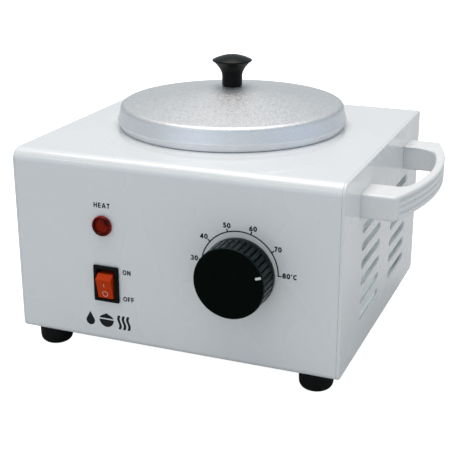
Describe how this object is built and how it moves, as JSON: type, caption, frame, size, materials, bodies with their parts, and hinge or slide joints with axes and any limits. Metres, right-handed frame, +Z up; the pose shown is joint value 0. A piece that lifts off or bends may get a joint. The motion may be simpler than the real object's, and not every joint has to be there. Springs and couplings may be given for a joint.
{
  "type": "wax warmer pot",
  "caption": "Electric depilatory wax warmer: white sheet-metal case with a lidded aluminium pot, thermostat knob, rocker switch, lamp, side handle and rubber feet.",
  "frame": {"origin": "on the table plane, under the middle of the whole object's bounding box", "axes": "+Z up, the control panel faces -Y, the handle is on the +X side"},
  "size_m": [0.2196, 0.1934, 0.1591],
  "materials": {
    "white_powder_coat": "gloss white powder coat",
    "white_plastic": "satin white",
    "satin_aluminium": "fine bead-blasted satin",
    "bright_aluminium": "plain spun",
    "galvanised_steel": "galvanised",
    "stainless_steel": "brushed",
    "zinc_plated_steel": "zinc plated",
    "brass": "plain",
    "copper": "plain copper",
    "black_plastic": "fine matte",
    "black_phenolic": "moulded semi-gloss",
    "black_rubber": "matte",
    "orange_plastic": "moulded semi-gloss",
    "red_lens": "translucent red",
    "white_ink": "matte white",
    "glass_fibre": "woven glass fibre",
    "ceramic": "matte",
    "grey_wire": "matte"
  },
  "bodies": {
    "base": {"case_cover": "white_powder_coat", "case_chassis": "white_powder_coat", "carry_handle": "white_plastic", "heater_well": "bright_aluminium", "well_stud": "zinc_plated_steel", "well_nut": "zinc_plated_steel", "support_strap": "galvanised_steel", "strap_screw_left": "zinc_plated_steel", "strap_screw_right": "zinc_plated_steel", "thermal_cutout": "black_phenolic", "cutout_screw_left": "zinc_plated_steel", "cutout_screw_right": "zinc_plated_steel", "band_heater": "stainless_steel", "band_clamp_screw": "zinc_plated_steel", "band_clamp_nut": "zinc_plated_steel", "insulation_jacket": "glass_fibre", "thermostat_body": "ceramic", "thermostat_screw_left": "zinc_plated_steel", "thermostat_screw_right": "zinc_plated_steel", "capillary_tube": "copper", "indicator_lens": "red_lens", "indicator_nut": "white_plastic", "indicator_body": "black_plastic", "switch_housing": "black_plastic", "switch_terminal_upper": "brass", "switch_terminal_lower": "brass", "mains_inlet": "black_plastic", "inlet_pin_line": "brass", "inlet_pin_earth": "brass", "inlet_pin_neutral": "brass", "inlet_screw_left": "zinc_plated_steel", "inlet_screw_right": "zinc_plated_steel", "terminal_block": "white_plastic", "terminal_block_screw": "zinc_plated_steel", "inlet_wire_line": "grey_wire", "switch_wire": "grey_wire", "lamp_wire": "grey_wire", "handle_screw_front": "zinc_plated_steel", "handle_screw_rear": "zinc_plated_steel", "foot_front_left": "black_rubber", "foot_screw_front_left": "zinc_plated_steel", "foot_front_right": "black_rubber", "foot_screw_front_right": "zinc_plated_steel", "foot_rear_left": "black_rubber", "foot_screw_rear_left": "zinc_plated_steel", "foot_rear_right": "black_rubber", "foot_screw_rear_right": "zinc_plated_steel"},
    "pot": {"wax_pot": "bright_aluminium"},
    "lid": {"pot_lid": "satin_aluminium", "lid_knob": "black_phenolic", "lid_knob_washer": "zinc_plated_steel", "lid_knob_screw": "zinc_plated_steel"},
    "knob": {"thermostat_knob": "black_plastic", "knob_pointer": "white_ink", "thermostat_spindle": "brass"},
    "rocker": {"switch_rocker": "orange_plastic"}
  },
  "joints": [
    {"name": "pot_lift", "type": "slide", "parent": "base", "child": "pot", "axis": [0, 0, 1], "range_m": [0, 0.095]},
    {"name": "lid_lift", "type": "slide", "parent": "pot", "child": "lid", "axis": [0, 0, 1], "range_m": [0, 0.06]},
    {"name": "thermostat_turn", "type": "hinge", "parent": "base", "child": "knob", "pos_m": [0.02525, -0.07975, 0.064], "axis": [0, -1, 0], "range_deg": [-19, 181.5]},
    {"name": "rocker_tilt", "type": "hinge", "parent": "base", "child": "rocker", "pos_m": [-0.05365, -0.07375, 0.0458], "axis": [-1, 0, 0], "range_deg": [0, 26]}
  ]
}
